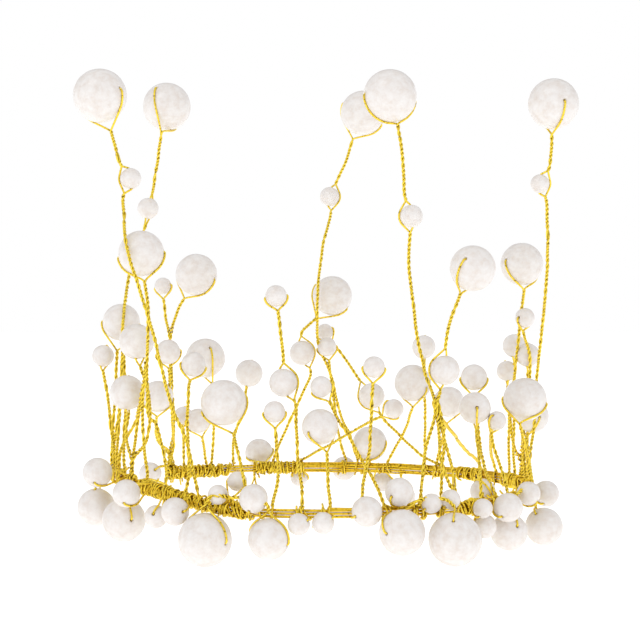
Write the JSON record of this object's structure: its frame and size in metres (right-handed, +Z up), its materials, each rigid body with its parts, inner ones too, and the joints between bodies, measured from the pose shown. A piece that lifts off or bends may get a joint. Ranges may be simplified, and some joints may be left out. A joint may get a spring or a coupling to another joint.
{
  "type": "wire and pearl crown",
  "caption": "Upright crown of twisted gold-coloured wire sprays rising from an open ring of parallel hoops, each wire ending in a round pearl that turns on it; worn on the head or hair.",
  "frame": {"origin": "centre of the ring, on the middle hoop's plane; the ring rises 7 mm above it on the left, and the lowest pearls reach 16 mm below it", "axes": "+Z up along the ring's axis, -Y to the front, +X to the right as seen from the front"},
  "size_m": [0.1575, 0.1532, 0.154],
  "materials": {
    "hoop_gold": "gold-coloured drawn wire, satin",
    "spray_gold": "gold-coloured thin craft wire, bright",
    "binding_gold": "gold-coloured thin binding wire, bright",
    "pearl_white": "white imitation pearl, mottled, soft gloss"
  },
  "bodies": {
    "crown_frame": {"hoop_wire_lower": "hoop_gold", "hoop_wire_middle": "hoop_gold", "hoop_wire_upper": "hoop_gold", "binding_wire_left": "binding_gold", "binding_wire_right": "binding_gold", "hanging_wire_back_left": "spray_gold", "hanging_wire_back_right": "spray_gold", "hanging_wire_front_left": "spray_gold", "hanging_wire_front_right": "spray_gold", "hanging_wire_left": "spray_gold", "hanging_wire_right": "spray_gold", "mid_wire_back": "spray_gold", "mid_wire_left_back": "spray_gold", "mid_wire_right": "spray_gold", "short_wire_back_right": "spray_gold", "short_wire_front": "spray_gold", "short_wire_front_left": "spray_gold", "short_wire_left": "spray_gold", "short_wire_left_back": "spray_gold", "tall_wire_back": "spray_gold", "tall_wire_front": "spray_gold", "tall_wire_left": "spray_gold", "tall_wire_left_side": "spray_gold", "tall_wire_right": "spray_gold"},
    "hanging_pearl_back_left_body": {"hanging_pearl_back_left": "pearl_white"},
    "hanging_pearl_back_right_body": {"hanging_pearl_back_right": "pearl_white"},
    "hanging_pearl_front_body": {"hanging_pearl_front": "pearl_white"},
    "hanging_pearl_front_left_body": {"hanging_pearl_front_left": "pearl_white"},
    "hanging_pearl_front_right_body": {"hanging_pearl_front_right": "pearl_white"},
    "hanging_pearl_left_body": {"hanging_pearl_left": "pearl_white"},
    "hanging_pearl_left_side_body": {"hanging_pearl_left_side": "pearl_white"},
    "hanging_pearl_right_body": {"hanging_pearl_right": "pearl_white"},
    "hanging_pearl_right_front_body": {"hanging_pearl_right_front": "pearl_white"},
    "hanging_pearl_right_side_body": {"hanging_pearl_right_side": "pearl_white"},
    "mid_pearl_back_body": {"mid_pearl_back": "pearl_white"},
    "mid_pearl_left_body": {"mid_pearl_left": "pearl_white"},
    "mid_pearl_left_back_body": {"mid_pearl_left_back": "pearl_white"},
    "mid_pearl_right_body": {"mid_pearl_right": "pearl_white"},
    "mid_pearl_right_front_body": {"mid_pearl_right_front": "pearl_white"},
    "short_pearl_back_left_body": {"short_pearl_back_left": "pearl_white"},
    "short_pearl_back_right_body": {"short_pearl_back_right": "pearl_white"},
    "short_pearl_front_body": {"short_pearl_front": "pearl_white"},
    "short_pearl_front_left_body": {"short_pearl_front_left": "pearl_white"},
    "short_pearl_left_back_body": {"short_pearl_left_back": "pearl_white"},
    "short_pearl_left_lower_body": {"short_pearl_left_lower": "pearl_white"},
    "short_pearl_left_side_body": {"short_pearl_left_side": "pearl_white"},
    "short_pearl_left_upper_body": {"short_pearl_left_upper": "pearl_white"},
    "short_pearl_right_body": {"short_pearl_right": "pearl_white"},
    "short_pearl_right_front_body": {"short_pearl_right_front": "pearl_white"},
    "small_pearl_back_body": {"small_pearl_back": "pearl_white"},
    "small_pearl_front_body": {"small_pearl_front": "pearl_white"},
    "small_pearl_left_body": {"small_pearl_left": "pearl_white"},
    "small_pearl_left_side_body": {"small_pearl_left_side": "pearl_white"},
    "small_pearl_right_body": {"small_pearl_right": "pearl_white"},
    "tall_pearl_back_body": {"tall_pearl_back": "pearl_white"},
    "tall_pearl_front_body": {"tall_pearl_front": "pearl_white"},
    "tall_pearl_left_body": {"tall_pearl_left": "pearl_white"},
    "tall_pearl_left_side_body": {"tall_pearl_left_side": "pearl_white"},
    "tall_pearl_right_body": {"tall_pearl_right": "pearl_white"},
    "threaded_pearl_right_front_body": {"threaded_pearl_right_front": "pearl_white"}
  },
  "joints": [
    {"name": "hanging_pearl_back_left_spin", "type": "hinge", "parent": "crown_frame", "child": "hanging_pearl_back_left_body", "pos_m": [-0.0245, 0.067, -0.011], "axis": [-0.342, 0.9397, 0], "continuous": true},
    {"name": "hanging_pearl_back_right_spin", "type": "hinge", "parent": "crown_frame", "child": "hanging_pearl_back_right_body", "pos_m": [0.0305, 0.066, -0.011], "axis": [0.4226, 0.9063, 0], "continuous": true},
    {"name": "hanging_pearl_front_spin", "type": "hinge", "parent": "crown_frame", "child": "hanging_pearl_front_body", "pos_m": [-0.015, -0.0735, -0.007], "axis": [0.9023, -0.3509, -0.2506], "continuous": true},
    {"name": "hanging_pearl_front_left_spin", "type": "hinge", "parent": "crown_frame", "child": "hanging_pearl_front_left_body", "pos_m": [-0.034, -0.068, -0.008], "axis": [0.8111, -0.5808, -0.0701], "continuous": true},
    {"name": "hanging_pearl_front_right_spin", "type": "hinge", "parent": "crown_frame", "child": "hanging_pearl_front_right_body", "pos_m": [0.024, -0.074, -0.005], "axis": [0.7214, 0.6913, -0.0401], "continuous": true},
    {"name": "hanging_pearl_left_spin", "type": "hinge", "parent": "crown_frame", "child": "hanging_pearl_left_body", "pos_m": [-0.0605, -0.045, -0.005], "axis": [0.453, -0.8858, 0.1007], "continuous": true},
    {"name": "hanging_pearl_left_side_spin", "type": "hinge", "parent": "crown_frame", "child": "hanging_pearl_left_side_body", "pos_m": [-0.0705, -0.033, -0.0025], "axis": [0.0499, 0.2493, -0.9672], "continuous": true},
    {"name": "hanging_pearl_right_spin", "type": "hinge", "parent": "crown_frame", "child": "hanging_pearl_right_body", "pos_m": [0.0585, -0.043, -0.009], "axis": [0.3696, -0.8291, 0.4195], "continuous": true},
    {"name": "hanging_pearl_right_front_spin", "type": "hinge", "parent": "crown_frame", "child": "hanging_pearl_right_front_body", "pos_m": [0.04, -0.067, -0.008], "axis": [-0.1097, -0.6185, 0.7781], "continuous": true},
    {"name": "hanging_pearl_right_side_spin", "type": "hinge", "parent": "crown_frame", "child": "hanging_pearl_right_side_body", "pos_m": [0.071, -0.03, -0.009], "axis": [0.5, 0.45, -0.74], "continuous": true},
    {"name": "mid_pearl_back_spin", "type": "hinge", "parent": "crown_frame", "child": "mid_pearl_back_body", "pos_m": [0.0045, 0.055, 0.064], "axis": [-0.7724, 0.1705, 0.6119], "continuous": true},
    {"name": "mid_pearl_left_spin", "type": "hinge", "parent": "crown_frame", "child": "mid_pearl_left_body", "pos_m": [-0.0545, -0.05, 0.077], "axis": [-0.9925, 0.0178, -0.121], "continuous": true},
    {"name": "mid_pearl_left_back_spin", "type": "hinge", "parent": "crown_frame", "child": "mid_pearl_left_back_body", "pos_m": [-0.044, 0.04, 0.0715], "axis": [-0.9025, 0.3811, 0.2006], "continuous": true},
    {"name": "mid_pearl_right_spin", "type": "hinge", "parent": "crown_frame", "child": "mid_pearl_right_body", "pos_m": [0.0665, -0.007, 0.0745], "axis": [-0.82, -0.54, 0.19], "continuous": true},
    {"name": "mid_pearl_right_front_spin", "type": "hinge", "parent": "crown_frame", "child": "mid_pearl_right_front_body", "pos_m": [0.0465, -0.051, 0.0725], "axis": [-0.3915, -0.8231, 0.4115], "continuous": true},
    {"name": "short_pearl_back_left_spin", "type": "hinge", "parent": "crown_frame", "child": "short_pearl_back_left_body", "pos_m": [-0.0405, 0.035, 0.042], "axis": [-0.2999, 0.7796, -0.5498], "continuous": true},
    {"name": "short_pearl_back_right_spin", "type": "hinge", "parent": "crown_frame", "child": "short_pearl_back_right_body", "pos_m": [0.0335, 0.048, 0.0325], "axis": [-0.7188, 0.6489, 0.2496], "continuous": true},
    {"name": "short_pearl_front_spin", "type": "hinge", "parent": "crown_frame", "child": "short_pearl_front_body", "pos_m": [0, -0.062, 0.025], "axis": [-0.653, -0.7032, -0.2813], "continuous": true},
    {"name": "short_pearl_front_left_spin", "type": "hinge", "parent": "crown_frame", "child": "short_pearl_front_left_body", "pos_m": [-0.029, -0.058, 0.032], "axis": [-0.944, -0.0155, -0.3295], "continuous": true},
    {"name": "short_pearl_left_back_spin", "type": "hinge", "parent": "crown_frame", "child": "short_pearl_left_back_body", "pos_m": [-0.0565, 0.025, 0.029], "axis": [-0.9974, 0.0024, 0.0718], "continuous": true},
    {"name": "short_pearl_left_lower_spin", "type": "hinge", "parent": "crown_frame", "child": "short_pearl_left_lower_body", "pos_m": [-0.06, -0.04, 0.034], "axis": [0.0501, 0.3008, 0.9524], "continuous": true},
    {"name": "short_pearl_left_side_spin", "type": "hinge", "parent": "crown_frame", "child": "short_pearl_left_side_body", "pos_m": [-0.064, -0.02, 0.0555], "axis": [-0.9932, 0, 0.1168], "continuous": true},
    {"name": "short_pearl_left_upper_spin", "type": "hinge", "parent": "crown_frame", "child": "short_pearl_left_upper_body", "pos_m": [-0.0565, -0.045, 0.05], "axis": [-0.0501, -0.3008, -0.9524], "continuous": true},
    {"name": "short_pearl_right_spin", "type": "hinge", "parent": "crown_frame", "child": "short_pearl_right_body", "pos_m": [0.0715, 0.005, 0.0235], "axis": [-0.3312, 0.9435, 0], "continuous": true},
    {"name": "short_pearl_right_front_spin", "type": "hinge", "parent": "crown_frame", "child": "short_pearl_right_front_body", "pos_m": [0.0655, -0.025, 0.031], "axis": [-0.966, 0.2234, 0.1298], "continuous": true},
    {"name": "small_pearl_back_spin", "type": "hinge", "parent": "crown_frame", "child": "small_pearl_back_body", "pos_m": [0.0035, 0.054, 0.1], "axis": [0.1699, 0.1275, 0.9772], "continuous": true},
    {"name": "small_pearl_front_spin", "type": "hinge", "parent": "crown_frame", "child": "small_pearl_front_body", "pos_m": [0.028, -0.048, 0.0885], "axis": [-0.1145, -0.0382, 0.9927], "continuous": true},
    {"name": "small_pearl_left_spin", "type": "hinge", "parent": "crown_frame", "child": "small_pearl_left_body", "pos_m": [-0.058, -0.047, 0.1], "axis": [-0.1339, 0.1339, 0.9819], "continuous": true},
    {"name": "small_pearl_left_side_spin", "type": "hinge", "parent": "crown_frame", "child": "small_pearl_left_side_body", "pos_m": [-0.057, -0.003, 0.093], "axis": [0.2024, 0.1215, 0.9717], "continuous": true},
    {"name": "small_pearl_right_spin", "type": "hinge", "parent": "crown_frame", "child": "small_pearl_right_body", "pos_m": [0.0695, -0.03, 0.0995], "axis": [0.0863, -0.0863, 0.9925], "continuous": true},
    {"name": "tall_pearl_back_spin", "type": "hinge", "parent": "crown_frame", "child": "tall_pearl_back_body", "pos_m": [0.0155, 0.05, 0.13], "axis": [-0.8521, 0.1504, 0.5013], "continuous": true},
    {"name": "tall_pearl_front_spin", "type": "hinge", "parent": "crown_frame", "child": "tall_pearl_front_body", "pos_m": [0.0215, -0.045, 0.1255], "axis": [-0.9505, -0.3002, 0.08], "continuous": true},
    {"name": "tall_pearl_left_spin", "type": "hinge", "parent": "crown_frame", "child": "tall_pearl_left_body", "pos_m": [-0.0675, -0.046, 0.1255], "axis": [-0.8218, 0.5211, -0.2305], "continuous": true},
    {"name": "tall_pearl_left_side_spin", "type": "hinge", "parent": "crown_frame", "child": "tall_pearl_left_side_body", "pos_m": [-0.051, 0, 0.127], "axis": [-0.3803, -0.5404, 0.7506], "continuous": true},
    {"name": "tall_pearl_right_spin", "type": "hinge", "parent": "crown_frame", "child": "tall_pearl_right_body", "pos_m": [0.0735, -0.032, 0.1245], "axis": [-0.3219, 0.9455, -0.0503], "continuous": true},
    {"name": "threaded_pearl_right_front_spin", "type": "hinge", "parent": "crown_frame", "child": "threaded_pearl_right_front_body", "pos_m": [0.038, -0.052, 0.0415], "axis": [0.1104, 0.0368, 0.9932], "continuous": true}
  ]
}
